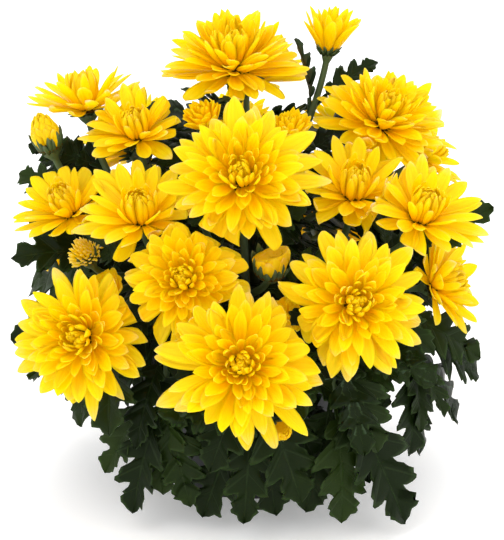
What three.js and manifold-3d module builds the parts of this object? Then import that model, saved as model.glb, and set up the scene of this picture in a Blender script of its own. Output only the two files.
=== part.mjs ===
// Potted chrysanthemum: five leafy cuttings in one pot, with yellow blooms and buds on a low dome.
// Millimetres, +Z up, origin at the middle of the pot's base, front of the plant towards -Y.
import * as THREE from "three";
import { mergeVertices } from "three/addons/utils/BufferGeometryUtils.js";
import Module from "manifold-3d";

const wasm = await Module();
wasm.setup();

// Driving sizes
const POT = {
  height: 90,
  rimRadius: 60,
  baseRadius: 43,
  wall: 2,
  rimHeight: 11,
  rimStep: 2.5,
  chamfer: 1,
  sides: 24,
};
const SOIL = { top: 78, mound: 3, gap: 0.3, slope: [[44, 1], [24, 3]] };
const DRAIN = { count: 5, radius: 4.5, ring: 28 };
const HOLE_SIDES = 8;
const STEM = {
  root: 3.2,
  fork: 2.3,
  neck: 1.7,
  sides: 5,
  buried: 12,
  holeGap: 0.9,
  footGap: 0.3,
  straight: [84, 100],
  spacing: 0.04,
};
// A flowering shoot's bends: how far it leans and rises at first, then its straight run to the bloom.
const SHOOT = { lean: 0.25, rise: 0.22, runShare: 0.42, longestRun: 34, slimsBy: [0.35, 0.7] };
const CALYX = { height: 7, seatGap: 0.3, overhang: 1.12 };
const LEAF = {
  thickness: 0.9,
  petiole: 2.2,
  petioleShare: 0.22,
  petioleEnd: 0.9,
  fold: 14,
  arch: 16,
  outward: 0.7,
};
const NEIGHBOUR = { gap: 0.5, yieldAt: 0.7, passes: 2, reach: 1.6 };

// The forms below are drawn at these radii. A small bloom's receptacle shrinks no further than smallest.
const DRAWN_AT = { bloom: 40, bud: 9, smallest: 0.62 };
// A petal: where it is widest, its depth there and the share of it above the petal's line, how deep its root
// sits, the width that even the smallest bloom's petals keep, and how much more a hanging petal rises.
const PETAL = { widest: 0.64, depth: 1.5, above: 0.66, rootShare: 0.8, leastWidth: 0.35, hangingRise: 8 };
// How far petals differ: degrees of turn and rise, and the least and the spread of length and width.
const VARIETY = { turn: 6, rise: 6, length: [0.94, 0.1], width: [0.92, 0.16] };

// A bloom's form: the receptacle's rings [radius, height], then its whorls of petals from the outside in.
// rise and curl are in degrees, reach is a share of the bloom's radius, width is in millimetres, and blunt is
// the tip's share of the width.
const FORMS = {
  full: {
    sides: 6,
    rings: [[6.4, 0], [8.6, 3.2], [7.8, 6.6], [5.6, 9.4]],
    eye: [[4.6, 12.4], 14],
    whorls: [
      { reach: 1.0, rise: -2, curl: -4, width: 10.5, blunt: 0.42 },
      { reach: 0.92, rise: 19, curl: 4, width: 11 },
      { reach: 0.62, rise: 44, curl: 22, width: 10, single: true },
    ],
  },
  half: {
    sides: 6,
    rings: [[6.6, 0], [9, 3.6], [8, 8]],
    eye: [[6.4, 15], 19],
    whorls: [
      { reach: 1.04, rise: 15, curl: 8, width: 11.5, blunt: 0.45 },
      { reach: 0.62, rise: 50, curl: 34, width: 8.5 },
    ],
  },
  cup: {
    sides: 5,
    rings: [[4.8, 0], [8, 7]],
    eye: [[4.2, 12], 17],
    whorls: [{ reach: 1.3, rise: 48, curl: 12, width: 7, blunt: 0.5 }],
  },
  bud: {
    sides: 6,
    rings: [[4.6, 0], [8.4, 5], [8.8, 11], [6.4, 17]],
    eye: [[2.6, 20.4], 21.4],
    whorls: [],
  },
};

// Every bloom and bud: its form, radius, place, and the bearing and lift that it faces, in degrees.
// Bearing 0 is the front of the plant, and 90 its right side. The names say which cutting carries it.
const BLOOMS = {
  centre: [
    ["crown", "full", 42, [-8, 15, 216], 0, 74],
    ["top_cup", "cup", 19, [41, 32, 224], 90, 82],
    ["right_top", "full", 41, [67, 5, 189], 32, 60],
    ["behind_middle", "cup", 13, [20, -14, 188], 10, 72],
    ["under_crown", "cup", 12, [-21, -14, 195], -50, 62],
    ["right_back", "half", 23, [90, 30, 166], 88, 38],
    ["top_back", "half", 31, [-2, 66, 199], 178, 60],
  ],
  front: [
    ["middle", "full", 41, [-4, -75, 183], 0, 33],
    ["lower_middle", "full", 37, [-31, -84, 135], -8, 27],
    ["bottom_middle", "full", 43, [-4, -120, 105], 0, 22],
    ["middle_bud", "bud", 12, [10, -74, 138], 6, 62],
    ["behind_bottom", "cup", 13, [20, -76, 112], 10, 46],
    ["shy_middle", "cup", 14, [-24, -40, 154], -10, 60],
    ["bottom_bud", "bud", 6, [14, -104, 66], 20, 10],
  ],
  right: [
    ["lower_right", "full", 40, [49, -100, 129], 8, 22],
    ["right_inner", "half", 31, [52, -40, 165], 6, 58],
    ["right_outer", "half", 31, [84, -58, 158], 24, 58],
    ["right_side", "half", 28, [93, -34, 116], 66, 22],
    ["back_right", "full", 38, [84, 60, 112], 128, 20],
  ],
  left: [
    ["left_top", "half", 31, [-86, 22, 194], -110, 82],
    ["left_upper", "half", 28, [-58, -5, 187], -14, 60],
    ["left_outer", "half", 28, [-92, -20, 150], -38, 58],
    ["left_inner", "half", 30, [-54, -56, 157], -8, 58],
    ["lower_left", "full", 39, [-80, -84, 106], -18, 20],
    ["left_bud", "bud", 10, [-104, 0, 181], -60, 72],
    ["green_bud", "bud", 7, [-82, -44, 134], -40, 60],
    ["shy_left", "cup", 12, [-71, -44, 114], -30, 52],
  ],
  back: [
    ["back_low", "full", 40, [42, 104, 104], 162, 20],
    ["back_left_low", "full", 39, [-42, 104, 108], -158, 22],
    ["left_back", "full", 37, [-88, 62, 112], -124, 20],
    ["back_right_mid", "full", 35, [58, 74, 164], 146, 44],
    ["back_mid", "full", 36, [-10, 98, 158], -176, 36],
    ["back_left_mid", "half", 31, [-62, 60, 162], -136, 46],
    ["back_bud", "bud", 9, [22, 88, 138], 160, 40],
    ["back_left_bud", "bud", 8, [-58, 88, 142], -146, 36],
  ],
};

// Each cutting: where it stands in the soil, and where it forks.
const CUTTINGS = {
  centre: { root: [2, 4], fork: [2, 4, 124] },
  front: { root: [-2, -30], fork: [-2, -40, 112] },
  right: { root: [30, -4], fork: [42, -6, 110] },
  left: { root: [-31, -2], fork: [-42, -6, 112] },
  back: { root: [1, 34], fork: [0, 46, 112] },
};

// Side shoots without a bloom, which arch over the rim and carry the lowest leaves: cutting and end point.
const LATERALS = {
  low_front: ["front", [2, -80, 72]],
  low_front_left: ["left", [-42, -72, 70]],
  low_front_right: ["right", [42, -74, 70]],
  low_left: ["left", [-84, -34, 80]],
  low_right: ["right", [82, -36, 78]],
  low_right_back: ["right", [72, 46, 74]],
  low_back: ["back", [24, 82, 72]],
  low_back_left: ["back", [-34, 80, 72]],
  low_left_back: ["left", [-74, 34, 76]],
};
const LATERAL = { rise: 32, fall: 22, leaving: 0.4, arriving: 0.95, root: 2.4, end: 1.5 };

// The leaves of each shoot: share of the way along it where the leaf sits, then the leaf's tip.
const LEAVES = {
  low_front: [[0.97, [-3, -100, 13]], [0.9, [26, -100, 24]], [0.8, [-20, -98, 40]]],
  low_front_left: [[0.97, [-59, -88, 13]], [0.96, [-30, -94, 19]], [0.75, [-57, -90, 49]]],
  low_front_right: [[0.97, [46, -98, 12]], [0.94, [79, -86, 6]], [0.75, [64, -88, 46]]],
  low_left: [[0.97, [-113, -60, 75]], [0.85, [-96, -66, 69]]],
  low_right: [[0.97, [100, -60, 54]], [0.9, [82, -62, 33]], [0.7, [121, -24, 73]]],
  low_right_back: [[0.97, [94, 70, 36]], [0.85, [112, 34, 62]]],
  low_back: [[0.97, [36, 104, 16]], [0.9, [8, 106, 32]]],
  low_back_left: [[0.97, [-44, 104, 18]], [0.85, [-18, 104, 44]]],
  low_left_back: [[0.97, [-94, 60, 26]], [0.85, [-112, 24, 62]]],
  lower_left: [[0.6, [-70, -95, 58]], [0.66, [-122, -50, 92]]],
  left_outer: [[0.5, [-124, -24, 128]], [0.62, [-118, 12, 140]]],
  left_bud: [[0.62, [-124, 24, 160]]],
  left_top: [[0.62, [-104, 36, 174]]],
  left_upper: [[0.6, [-34, -34, 160]]],
  top_cup: [[0.7, [24, 36, 231]], [0.74, [68, 38, 218]]],
  crown: [[0.6, [-44, 6, 178]], [0.66, [34, -8, 182]]],
  right_top: [[0.62, [92, -22, 160]]],
  right_outer: [[0.66, [124, -32, 158]]],
  right_side: [[0.5, [112, 4, 102]]],
  middle: [[0.5, [28, -62, 166]], [0.62, [-32, -62, 160]]],
  lower_middle: [[0.5, [-6, -92, 128]]],
  lower_right: [[0.6, [20, -98, 118]], [0.55, [92, -78, 96]]],
  back_low: [[0.6, [80, 88, 84]]],
  back_left_low: [[0.6, [-78, 84, 84]]],
  back_right: [[0.6, [102, 18, 88]]],
  back_right_mid: [[0.6, [100, 62, 144]]],
  back_mid: [[0.6, [-2, 98, 130]]],
  back_left_mid: [[0.6, [-102, 34, 150]]],
  top_back: [[0.6, [34, 82, 178]]],
};

// One side of a leaf blade: share of its length, and half its width as a share of that length.
const LEAF_EDGE = [
  [0, 0.045],
  [0.18, 0.2],
  [0.31, 0.08],
  [0.46, 0.32],
  [0.62, 0.28],
  [0.6, 0.12],
  [0.82, 0.21],
  [0.87, 0.1],
];
const LEAF_RIB = [0.45];

const COLOURS = {
  petal: { color: 0xf7c60a, roughness: 0.55, metalness: 0 },
  green: { color: 0x24401f, roughness: 0.5, metalness: 0 },
  soil: { color: 0x2b1f16, roughness: 0.95, metalness: 0 },
  pot: { color: 0x23262a, roughness: 0.55, metalness: 0 },
};

const degrees = (angle) => (angle * Math.PI) / 180;
const vector = (xyz) => new THREE.Vector3(...xyz);

// A repeatable draw from 0 to 1, the same for the same seed.
const draw = (seed) => {
  const wave = Math.sin(seed * 12.9898 + 78.233) * 43758.5453;
  return wave - Math.floor(wave);
};

// The direction that a bearing and a lift point in.
function facing(bearing, lift) {
  const flat = Math.cos(degrees(lift));
  return new THREE.Vector3(
    Math.sin(degrees(bearing)) * flat,
    -Math.cos(degrees(bearing)) * flat,
    Math.sin(degrees(lift)),
  );
}

// How much larger or smaller than its form a bloom is.
function scaleOf({ form, radius }) {
  if (form === "bud") return radius / DRAWN_AT.bud;
  return Math.max(DRAWN_AT.smallest, radius / DRAWN_AT.bloom);
}

// The turn that carries +Z onto a direction, with +X kept level.
function turnTo(direction) {
  const side = new THREE.Vector3(0, 0, 1).cross(direction);
  if (side.length() < 1e-3) side.set(1, 0, 0);
  side.normalize();
  const third = direction.clone().cross(side).normalize();
  return new THREE.Quaternion().setFromRotationMatrix(new THREE.Matrix4().makeBasis(side, third, direction));
}

const blooms = Object.entries(BLOOMS).flatMap(([cutting, rows]) =>
  rows.map(([name, form, radius, at, bearing, lift]) => {
    const direction = facing(bearing, lift);
    return { name, cutting, form, radius, at: vector(at), direction, turn: turnTo(direction) };
  }),
);
blooms.forEach((bloom, index) => (bloom.seed = index + 1));

// The planes that keep a bloom off its neighbours, in the bloom's own frame.
function neighbourPlanes(bloom) {
  const back = bloom.turn.clone().invert();
  return blooms
    .filter((other) => other !== bloom)
    .map((other) => {
      const apart = other.at.clone().sub(bloom.at);
      const share = bloom.radius / (bloom.radius + other.radius);
      const limit = apart.length() * share - NEIGHBOUR.gap;
      return { normal: apart.normalize().applyQuaternion(back), limit };
    })
    .filter((plane) => plane.limit < bloom.radius * NEIGHBOUR.reach);
}

// Presses a point back so that it never reaches a plane.
function yieldTo(point, planes) {
  for (let pass = 0; pass < NEIGHBOUR.passes; pass++)
    for (const { normal, limit } of planes) {
      const start = limit * NEIGHBOUR.yieldAt;
      const room = limit - start;
      const along = point.dot(normal);
      if (along > start) {
        const pressed = start + room * (1 - Math.exp(-(along - start) / room));
        point.addScaledVector(normal, pressed - along);
      }
    }
  return point;
}

// A closed mesh from a list of points and a list of triangles.
function geometryOf(points, faces) {
  const geometry = new THREE.BufferGeometry();
  geometry.setAttribute("position", new THREE.Float32BufferAttribute(points.flatMap((p) => p.toArray()), 3));
  geometry.setIndex(faces.flat());
  return geometry;
}

// A bloom: a receptacle whose facets are each drawn out into a petal, one whorl to a band of facets.
function bloomGeometry(bloom) {
  const { sides, rings, eye, whorls } = FORMS[bloom.form];
  const scale = scaleOf(bloom);
  const points = [];
  const faces = [];
  const add = (p) => points.push(p) - 1;
  const spin = draw(bloom.seed) * Math.PI;
  const step = (2 * Math.PI) / sides;
  const ringPoint = (ring, i, [radius, height]) => {
    const angle = spin + (i + ring / 2) * step;
    const corner = new THREE.Vector3(Math.cos(angle) * radius, Math.sin(angle) * radius, height);
    return corner.multiplyScalar(scale);
  };
  const levels = [...rings, eye[0]];
  const loops = levels.map((level, ring) =>
    Array.from({ length: sides }, (_, i) => add(ringPoint(ring, i, level))),
  );
  for (let i = 1; i < sides - 1; i++) faces.push([loops[0][0], loops[0][i + 1], loops[0][i]]);

  const petal = (facet, whorl, hangs, seed) => {
    const corners = facet.map((i) => points[i]);
    const root = new THREE.Vector3();
    corners.forEach((corner) => root.addScaledVector(corner, 1 / 3));
    const [turnDraw, riseDraw, lengthDraw, widthDraw] = [0, 0.3, 0.6, 0.9].map((more) => draw(seed + more));
    const angle = Math.atan2(root.y, root.x) + degrees((turnDraw - 0.5) * VARIETY.turn);
    const extraRise = hangs ? PETAL.hangingRise : 0;
    const rise = degrees(whorl.rise + extraRise + (riseDraw - 0.5) * VARIETY.rise);
    const reach = bloom.radius * whorl.reach * (VARIETY.length[0] + VARIETY.length[1] * lengthDraw);
    const length = reach - root.length() * PETAL.rootShare;
    const size = PETAL.leastWidth + (1 - PETAL.leastWidth) * (bloom.radius / DRAWN_AT.bloom);
    const width = whorl.width * size * (VARIETY.width[0] + VARIETY.width[1] * widthDraw);
    const side = new THREE.Vector3(-Math.sin(angle), Math.cos(angle), 0);
    const along = (share) => rise + degrees(whorl.curl) * share;
    const onLine = (share) => {
      const tilt = along(share / 2);
      const out = new THREE.Vector3(
        Math.cos(angle) * Math.cos(tilt),
        Math.sin(angle) * Math.cos(tilt),
        Math.sin(tilt),
      );
      return root.clone().addScaledVector(out, length * share);
    };
    const normal = (share) =>
      new THREE.Vector3(
        -Math.cos(angle) * Math.sin(along(share)),
        -Math.sin(angle) * Math.sin(along(share)),
        Math.cos(along(share)),
      );
    const section = (share) => {
      const at = (sideways, upward) =>
        add(
          onLine(share)
            .addScaledVector(side, (sideways * width) / 2)
            .addScaledVector(normal(share), upward * PETAL.depth),
        );
      const [far, near] = [PETAL.above, 1 - PETAL.above];
      return hangs ? [at(0, -far), at(1, near), at(-1, near)] : [at(-1, -near), at(1, -near), at(0, far)];
    };
    const wall = (lower, upper) => {
      for (let i = 0; i < 3; i++) {
        const j = (i + 1) % 3;
        faces.push([lower[i], lower[j], upper[j]], [lower[i], upper[j], upper[i]]);
      }
    };
    const middle = section(PETAL.widest);
    wall(facet, middle);
    if (!whorl.blunt) {
      const tip = add(onLine(1));
      for (let i = 0; i < 3; i++) faces.push([middle[i], middle[(i + 1) % 3], tip]);
      return;
    }
    const left = add(onLine(1).addScaledVector(side, (-whorl.blunt * width) / 2));
    const right = add(onLine(1).addScaledVector(side, (whorl.blunt * width) / 2));
    const [a, b, c] = middle;
    if (hangs) faces.push([a, b, right], [b, c, left], [b, left, right], [c, a, left], [a, right, left]);
    else faces.push([a, b, right], [a, right, left], [b, c, right], [c, left, right], [c, a, left]);
  };

  levels.slice(0, -1).forEach((_, ring) => {
    const whorl = whorls[ring];
    for (let i = 0; i < sides; i++) {
      const j = (i + 1) % sides;
      const upright = [loops[ring][i], loops[ring][j], loops[ring + 1][i]];
      const hanging = [loops[ring][j], loops[ring + 1][j], loops[ring + 1][i]];
      const seed = bloom.seed * 100 + ring * 20 + i;
      if (whorl) {
        petal(upright, whorl, false, seed);
        if (whorl.single) faces.push(hanging);
        else petal(hanging, whorl, true, seed + 0.5);
      } else faces.push(upright, hanging);
    }
  });
  const apex = add(new THREE.Vector3(0, 0, eye[1] * scale));
  const last = loops[loops.length - 1];
  last.forEach((corner, i) => faces.push([corner, last[(i + 1) % sides], apex]));

  const planes = neighbourPlanes(bloom);
  points.forEach((point, i) => i >= sides && yieldTo(point, planes));
  return geometryOf(points, faces);
}

// A tapered tube along a curve, with a flat end at each side. stations are [share of the curve, radius].
function tube(curve, stations, sides) {
  const points = [];
  const faces = [];
  let across = new THREE.Vector3(1, 0, 0);
  stations.forEach(([share, radius]) => {
    const tangent = curve.getTangent(share);
    across = across.clone().addScaledVector(tangent, -across.dot(tangent)).normalize();
    const other = tangent.clone().cross(across);
    for (let i = 0; i < sides; i++) {
      const angle = (i / sides) * 2 * Math.PI;
      points.push(
        curve.getPoint(share)
          .addScaledVector(across, Math.cos(angle) * radius)
          .addScaledVector(other, Math.sin(angle) * radius),
      );
    }
  });
  for (let s = 0; s < stations.length - 1; s++)
    for (let i = 0; i < sides; i++) {
      const j = (i + 1) % sides;
      const [a, b] = [s * sides + i, s * sides + j];
      faces.push([a, b, b + sides], [a, b + sides, a + sides]);
    }
  const end = (stations.length - 1) * sides;
  for (let i = 1; i < sides - 1; i++) faces.push([0, i + 1, i], [end, end + i, end + i + 1]);
  return geometryOf(points, faces);
}

// Stations of a tube that tapers evenly from one radius to another.
const evenStations = (from, to) => [0, 1, 2, 3].map((i) => [i / 3, from + ((to - from) * i) / 3]);

// The middle of a tube at a share of its curve, on the straight run between two stations.
function middleOf(curve, stations, share) {
  const next = stations.findIndex(([at]) => at >= share);
  const [from, to] = [stations[next - 1][0], stations[next][0]];
  return curve.getPoint(from).lerp(curve.getPoint(to), (share - from) / (to - from));
}

// The line of a cutting's stem: straight up out of the soil, then leaning to its fork.
function stemCurve(cutting) {
  const { root: [x, y], fork } = CUTTINGS[cutting];
  const heights = [SOIL.top - STEM.buried, ...STEM.straight];
  return new THREE.CubicBezierCurve3(...heights.map((z) => new THREE.Vector3(x, y, z)), vector(fork));
}

// Where a cutting's shoot leaves the stem: the first at the fork, each next one a little lower.
const leavesStem = (cutting, order) => stemCurve(cutting).getPoint(1 - STEM.spacing * order);

// The line of a side shoot: over the rim, then down.
function lateralCurve(cutting, end, order) {
  const fork = vector(CUTTINGS[cutting].fork);
  const tip = vector(end);
  const start = leavesStem(cutting, order);
  const leaving = fork.clone().lerp(tip, LATERAL.leaving).setZ(POT.height + LATERAL.rise);
  const arriving = fork.clone().lerp(tip, LATERAL.arriving).setZ(POT.height + LATERAL.fall);
  return new THREE.CubicBezierCurve3(start, leaving, arriving, tip);
}

// The line of a flowering shoot, from its cutting's fork to the seat of its bloom.
function shootCurve(bloom, order) {
  const fork = vector(CUTTINGS[bloom.cutting].fork);
  const seat = bloom.at.clone().addScaledVector(bloom.direction, -CALYX.seatGap);
  const reach = seat.distanceTo(fork);
  const start = leavesStem(bloom.cutting, order);
  const leaving = fork.clone().add(
    new THREE.Vector3((seat.x - fork.x) * SHOOT.lean, (seat.y - fork.y) * SHOOT.lean, reach * SHOOT.rise),
  );
  const run = Math.min(SHOOT.longestRun, reach * SHOOT.runShare);
  const arriving = seat.clone().addScaledVector(bloom.direction, -run);
  return new THREE.CubicBezierCurve3(start, leaving, arriving, seat);
}

// A flowering shoot's radii: slim to its neck, then the flaring calyx under the bloom.
function shootStations(bloom, curve) {
  const length = curve.getLength();
  const scale = scaleOf(bloom);
  const seat = FORMS[bloom.form].rings[0][0] * scale * CALYX.overhang;
  const neck = 1 - (CALYX.height * (1 + scale)) / 2 / length;
  const [halfway, slim] = SHOOT.slimsBy;
  return [
    [0, STEM.fork],
    [neck * halfway, (STEM.fork + STEM.neck) / 2],
    [neck * slim, STEM.neck],
    [neck, STEM.neck],
    [1, seat],
  ];
}

// A mesh as a solid for joining and cutting.
function solid(geometry) {
  const bare = geometry.clone();
  bare.deleteAttribute("normal");
  bare.deleteAttribute("uv");
  const merged = mergeVertices(bare, 1e-4);
  return new wasm.Manifold(
    new wasm.Mesh({
      numProp: 3,
      vertProperties: new Float32Array(merged.attributes.position.array),
      triVerts: new Uint32Array(merged.index.array),
    }),
  );
}

function backToGeometry(manifold) {
  const mesh = manifold.getMesh();
  const geometry = new THREE.BufferGeometry();
  geometry.setAttribute("position", new THREE.BufferAttribute(new Float32Array(mesh.vertProperties), 3));
  geometry.setIndex([...mesh.triVerts]);
  return geometry;
}

const joined = (geometries) => backToGeometry(geometries.map(solid).reduce((a, b) => a.add(b)));

// A leaf: a thin arched plate, its petiole sunk in the shoot, with the blade's edge cut into lobes.
function leafGeometry(base, end) {
  const chord = vector(end).sub(base);
  const length = chord.length();
  const petiole = length * LEAF.petioleShare;
  const blade = length - petiole;
  const arch = degrees(LEAF.arch);
  chord.normalize();
  const outward = new THREE.Vector3(base.x, base.y, 0).normalize();
  const face = outward.multiplyScalar(LEAF.outward).add(new THREE.Vector3(0, 0, 1));
  face.addScaledVector(chord, -face.dot(chord)).normalize();
  const side = face.clone().cross(chord);
  const onRib = (x) => {
    const turn = arch * (1 - x / length);
    const way = chord.clone().multiplyScalar(Math.cos(turn)).addScaledVector(face, Math.sin(turn));
    return base.clone().addScaledVector(way, x);
  };
  const normal = (x) => {
    const turn = arch * (1 - (2 * x) / length);
    return face.clone().multiplyScalar(Math.cos(turn)).addScaledVector(chord, -Math.sin(turn));
  };
  const fold = degrees(LEAF.fold);
  const depth = (x) => (x < petiole * LEAF.petioleEnd ? LEAF.petiole : LEAF.thickness);
  const flat = [];
  const outline = LEAF_EDGE.map(([x, y]) => [petiole + x * blade, y * blade]);
  const rib = [0, ...LEAF_RIB.map((x) => petiole + x * blade), length];
  const ribAt = rib.map((x) => flat.push([x, 0]) - 1);
  const right = outline.map(([x, y]) => flat.push([x, y]) - 1);
  const left = outline.map(([x, y]) => flat.push([x, -y]) - 1);
  const tip = ribAt[ribAt.length - 1];
  const halves = [
    [...ribAt, ...right.slice().reverse()],
    [...left, ...ribAt.slice().reverse()],
  ];
  const onTop = halves.flatMap((half) =>
    THREE.ShapeUtils.triangulateShape(half.map((i) => new THREE.Vector2(...flat[i])), []).map((t) =>
      t.map((i) => half[i]),
    ),
  );
  const top = flat.map(([x, y]) =>
    onRib(x)
      .addScaledVector(side, y * Math.cos(fold))
      .addScaledVector(normal(x), Math.abs(y) * Math.sin(fold)),
  );
  const under = flat.map(([x], i) => top[i].clone().addScaledVector(normal(x), -depth(x)));
  const count = flat.length;
  const loop = [ribAt[0], ...left, tip, ...right.slice().reverse()];
  const edge = loop.flatMap((a, i) => {
    const b = loop[(i + 1) % loop.length];
    return [[a, a + count, b + count], [a, b + count, b]];
  });
  const below = onTop.map(([a, b, c]) => [a + count, c + count, b + count]);
  return geometryOf([...top, ...under], [...onTop, ...below, ...edge]);
}

// A cutting: its stem from the soil to the fork, every shoot that leaves the fork, and their leaves.
function cuttingGeometry(name) {
  const flowering = blooms.filter((bloom) => bloom.cutting === name);
  const side = Object.entries(LATERALS).filter(([, [cutting]]) => cutting === name);
  const stem = tube(stemCurve(name), evenStations(STEM.root, STEM.root), STEM.sides + 1);
  const pieces = [stem];
  const grow = (shoot, line, stations) => {
    pieces.push(tube(line, stations, STEM.sides));
    for (const [share, tip] of LEAVES[shoot] ?? []) {
      const base = middleOf(line, stations, share);
      pieces.push(leafGeometry(base, tip));
    }
  };
  flowering.forEach((bloom, order) => {
    const line = shootCurve(bloom, order);
    grow(bloom.name, line, shootStations(bloom, line));
  });
  side.forEach(([lateral, [, end]], i) => {
    const line = lateralCurve(name, end, flowering.length + i);
    grow(lateral, line, evenStations(LATERAL.root, LATERAL.end));
  });
  return joined(pieces);
}

// A closed ring or disc turned round the axis, from a profile of [radius, height].
function turned(profile, sides = POT.sides) {
  const points = profile.map(([radius, height]) => new THREE.Vector2(radius, height));
  return new THREE.LatheGeometry(points, sides).rotateX(Math.PI / 2);
}

function potGeometry() {
  const { height, rimRadius, baseRadius, wall, rimHeight, rimStep, chamfer } = POT;
  const bodyTop = rimRadius - rimStep;
  const profile = [
    [0, 0],
    [baseRadius, 0],
    [bodyTop - chamfer, height - rimHeight],
    [rimRadius - chamfer, height - rimHeight + chamfer],
    [rimRadius, height - chamfer],
    [rimRadius - chamfer, height],
    [bodyTop - wall, height],
    [baseRadius - wall, wall],
    [0, wall],
  ];
  let pot = solid(turned(profile));
  for (let i = 0; i < DRAIN.count; i++) {
    const hole = new THREE.CylinderGeometry(DRAIN.radius, DRAIN.radius, wall * 4, HOLE_SIDES);
    const angle = (i / DRAIN.count) * 2 * Math.PI;
    hole.rotateX(Math.PI / 2);
    hole.translate(Math.cos(angle) * DRAIN.ring, Math.sin(angle) * DRAIN.ring, 0);
    pot = pot.subtract(solid(hole));
  }
  return backToGeometry(pot);
}

function soilGeometry() {
  const { height, rimRadius, baseRadius, wall, rimStep } = POT;
  const inner = (z) => {
    const low = baseRadius - wall;
    const high = rimRadius - rimStep - wall;
    return low + ((high - low) * (z - wall)) / (height - wall) - SOIL.gap;
  };
  const floor = wall + SOIL.gap;
  const profile = [
    [0, floor],
    [inner(floor), floor],
    [inner(SOIL.top), SOIL.top],
    ...SOIL.slope.map(([radius, rise]) => [radius, SOIL.top + rise]),
    [0, SOIL.top + SOIL.mound],
  ];
  let soil = solid(turned(profile));
  for (const { root } of Object.values(CUTTINGS)) {
    const radius = STEM.root + STEM.holeGap;
    const depth = STEM.buried + STEM.footGap;
    const long = 2 * depth;
    const hole = new THREE.CylinderGeometry(radius, radius, long, HOLE_SIDES).rotateX(Math.PI / 2);
    hole.translate(root[0], root[1], SOIL.top - depth + long / 2);
    soil = soil.subtract(solid(hole));
  }
  return backToGeometry(soil);
}

const plant = new THREE.Group();

function place(name, geometry, finish) {
  const mesh = new THREE.Mesh(geometry, new THREE.MeshStandardMaterial(COLOURS[finish]));
  mesh.name = name;
  plant.add(mesh);
  return mesh;
}

place("pot", potGeometry(), "pot");
place("soil", soilGeometry(), "soil");
Object.keys(CUTTINGS).forEach((name) => place(`cutting_${name}`, cuttingGeometry(name), "green"));
for (const bloom of blooms) {
  const mesh = place(bloom.name, bloomGeometry(bloom), "petal");
  mesh.position.copy(bloom.at);
  mesh.quaternion.copy(bloom.turn);
}

export default plant;
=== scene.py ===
"""Potted chrysanthemum: the finer blooms, leaves, stems, potting mix and pot, and their materials.

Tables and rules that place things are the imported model's own, in millimetres; meshes are made in metres.
"""
import math

import bpy
import numpy as np
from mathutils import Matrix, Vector


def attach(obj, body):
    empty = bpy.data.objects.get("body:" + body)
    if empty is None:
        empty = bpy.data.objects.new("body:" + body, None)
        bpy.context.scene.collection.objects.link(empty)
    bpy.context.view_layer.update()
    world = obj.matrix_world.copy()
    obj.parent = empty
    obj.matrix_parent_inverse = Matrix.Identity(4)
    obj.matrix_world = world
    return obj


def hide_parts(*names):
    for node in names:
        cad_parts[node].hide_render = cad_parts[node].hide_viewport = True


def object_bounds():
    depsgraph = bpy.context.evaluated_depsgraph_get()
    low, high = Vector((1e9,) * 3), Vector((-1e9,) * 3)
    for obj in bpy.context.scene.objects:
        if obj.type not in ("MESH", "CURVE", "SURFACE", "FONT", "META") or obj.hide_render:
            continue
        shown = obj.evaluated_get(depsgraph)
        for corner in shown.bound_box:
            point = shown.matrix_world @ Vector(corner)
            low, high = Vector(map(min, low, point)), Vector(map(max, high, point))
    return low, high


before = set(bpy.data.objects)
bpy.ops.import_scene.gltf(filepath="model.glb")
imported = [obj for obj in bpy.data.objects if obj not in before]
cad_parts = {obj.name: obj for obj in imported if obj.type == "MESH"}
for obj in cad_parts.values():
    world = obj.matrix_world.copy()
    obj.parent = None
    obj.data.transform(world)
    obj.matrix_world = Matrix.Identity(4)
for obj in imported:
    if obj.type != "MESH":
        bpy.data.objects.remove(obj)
cad_box = [list(corner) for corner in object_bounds()]

# ---------- sizes and tables shared with the model
POT = {"height": 90, "rim": 60, "base": 43, "wall": 2, "rim_height": 11, "rim_step": 2.5}
DRAINS = {"count": 5, "radius": 4.5, "from_middle": 28}
SOIL_TOP, SOIL_MOUND = 78, 3
STEM = {
    "root": 3.2, "fork": 2.3, "neck": 1.7, "buried": 12, "straight": (84, 100), "spacing": 0.04, "flare": 7,
    "cover": 1.12,
}
LATERAL = {"rise": 32, "fall": 22, "root": 2.4, "end": 1.5, "leave": 0.4, "arrive": 0.95}
MIX = {"bumps": 420, "lumps": 600, "depth": 12.0, "gap": 0.4}
NEIGHBOUR_GAP, YIELD_AT = 0.5, 0.85
BIGGEST = 40
SEAT_GAP = 0.3
NEIGHBOUR_REACH = 1.6
SMALLEST_SCALE, BUD_SIZE = 0.62, 9
SHOOT = {"leave": 0.25, "rise": 0.22, "arrive": 34, "arrive_share": 0.42}

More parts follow.
